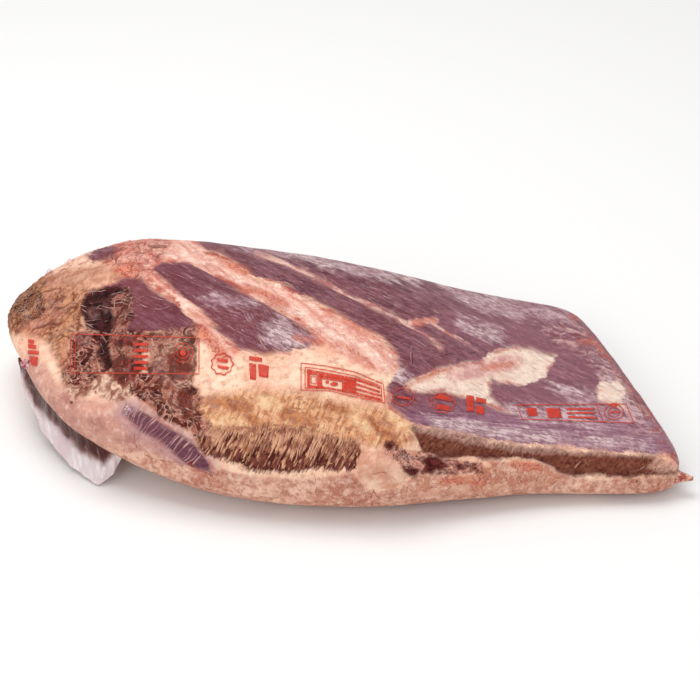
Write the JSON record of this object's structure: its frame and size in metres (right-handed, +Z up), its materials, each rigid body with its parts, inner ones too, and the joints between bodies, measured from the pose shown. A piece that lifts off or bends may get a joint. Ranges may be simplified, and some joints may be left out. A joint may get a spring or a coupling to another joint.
{
  "type": "raw beef brisket",
  "caption": "Whole raw beef brisket, thick at the point end and thin at the flat end, sealed in clear printed shrink film.",
  "frame": {"origin": "under the middle of the object, on the surface that it rests on", "axes": "+X along the length towards the thin flat end, -Y towards the front, +Z up"},
  "size_m": [0.4704, 0.2606, 0.1073],
  "materials": {
    "meat": "wet raw meat and fat under tight film",
    "film": "clear glossy shrink film with red printing"
  },
  "bodies": {
    "root": {"sealed_brisket": "meat"}
  },
  "joints": []
}
